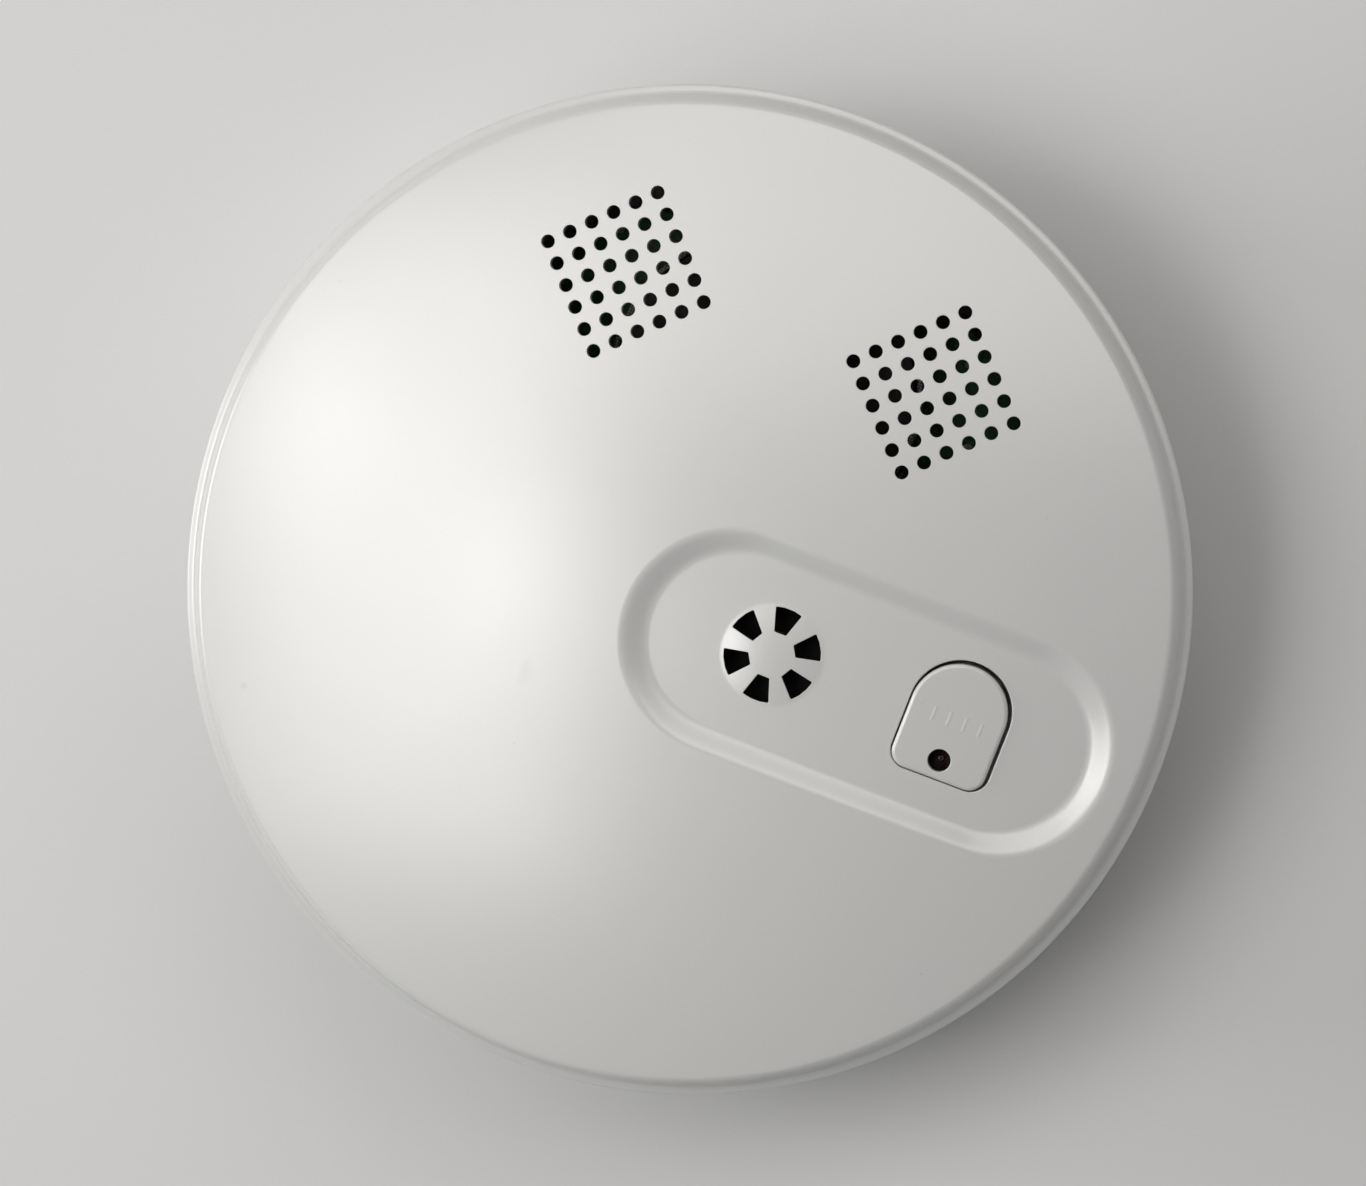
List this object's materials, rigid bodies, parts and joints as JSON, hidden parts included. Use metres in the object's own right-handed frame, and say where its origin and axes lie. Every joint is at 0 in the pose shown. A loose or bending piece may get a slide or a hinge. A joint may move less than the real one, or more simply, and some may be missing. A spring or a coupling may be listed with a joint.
{
  "type": "smoke detector",
  "caption": "Round battery smoke alarm with a domed cover, sunk sounder and test panel, hole patches and a twist-lock ceiling bracket.",
  "frame": {"origin": "centre of the mounting bracket's ceiling face", "axes": "+Z out of the ceiling through the dome, +Y towards the hole patches, +X towards the test button"},
  "size_m": [0.11, 0.11, 0.036],
  "materials": {
    "case_plastic": "satin white moulded plastic, fine grain",
    "bracket_plastic": "matt white moulded plastic",
    "button_plastic": "satin white moulded plastic",
    "board_laminate": "green solder mask with tinned joints",
    "black_plastic": "matt black moulded plastic",
    "spring_steel": "bright drawn wire",
    "zinc_steel": "bright zinc plate",
    "mesh_steel": "woven stainless mesh",
    "sounder_brass": "rolled brass",
    "ceramic": "fired ceramic with a silvered face",
    "red_lens": "clear red epoxy",
    "dark_lens": "dark tinted epoxy",
    "plunger_plastic": "cream nylon",
    "battery_jacket": "plain lacquered metal jacket",
    "capacitor_sleeve": "shrunk dark blue sleeve",
    "resistor_body": "tan lacquer with colour bands",
    "ferrite": "grey ferrite and enamelled wire",
    "red_wire": "red insulation",
    "black_wire": "black insulation",
    "label_paper": "blank satin label"
  },
  "bodies": {
    "bracket": {"mounting_bracket": "bracket_plastic"},
    "detector": {"rear_housing": "case_plastic", "front_cover": "case_plastic", "button_spring": "spring_steel", "circuit_board": "board_laminate", "chamber_base": "black_plastic", "chamber_labyrinth": "black_plastic", "insect_screen": "mesh_steel", "infrared_emitter": "dark_lens", "photodiode_receiver": "black_plastic", "photodiode_shield": "zinc_steel", "sounder_housing": "black_plastic", "sounder_retainer": "black_plastic", "piezo_plate": "sounder_brass", "piezo_ceramic": "ceramic", "status_led": "red_lens", "test_switch_body": "black_plastic", "battery_case": "battery_jacket", "battery_terminal_positive": "zinc_steel", "battery_terminal_negative": "zinc_steel", "battery_snap": "black_plastic", "battery_lead_red": "red_wire", "battery_lead_black": "black_wire", "detector_chip": "black_plastic", "capacitor_large": "capacitor_sleeve", "capacitor_small": "capacitor_sleeve", "resistor_1": "resistor_body", "resistor_2": "resistor_body", "resistor_3": "resistor_body", "resistor_4": "resistor_body", "transistor": "black_plastic", "boost_inductor": "ferrite", "cover_screw_1": "zinc_steel", "cover_screw_2": "zinc_steel", "cover_screw_3": "zinc_steel", "board_screw_1": "zinc_steel", "board_screw_2": "zinc_steel", "rating_label": "label_paper"},
    "button": {"test_button": "button_plastic"},
    "switch_plunger": {"test_switch_plunger": "plunger_plastic"}
  },
  "joints": [
    {"name": "twist_lock", "type": "hinge", "parent": "bracket", "child": "detector", "pos_m": [0, 0, 0.002], "axis": [0, 0, 1], "range_deg": [0, 18]},
    {"name": "test_button_press", "type": "slide", "parent": "detector", "child": "button", "axis": [0, 0, -1], "range_m": [0, 0.0009], "stiffness_N_per_m": 300, "springref_m": -0.002, "deforming": ["button_spring"]},
    {"name": "switch_plunger_press", "type": "slide", "parent": "detector", "child": "switch_plunger", "axis": [0, 0, -1], "range_m": [0, 0.00025]}
  ],
  "couplings": [
    {"joint": "switch_plunger_press", "follows": "test_button_press", "ratio": 0.27}
  ]
}
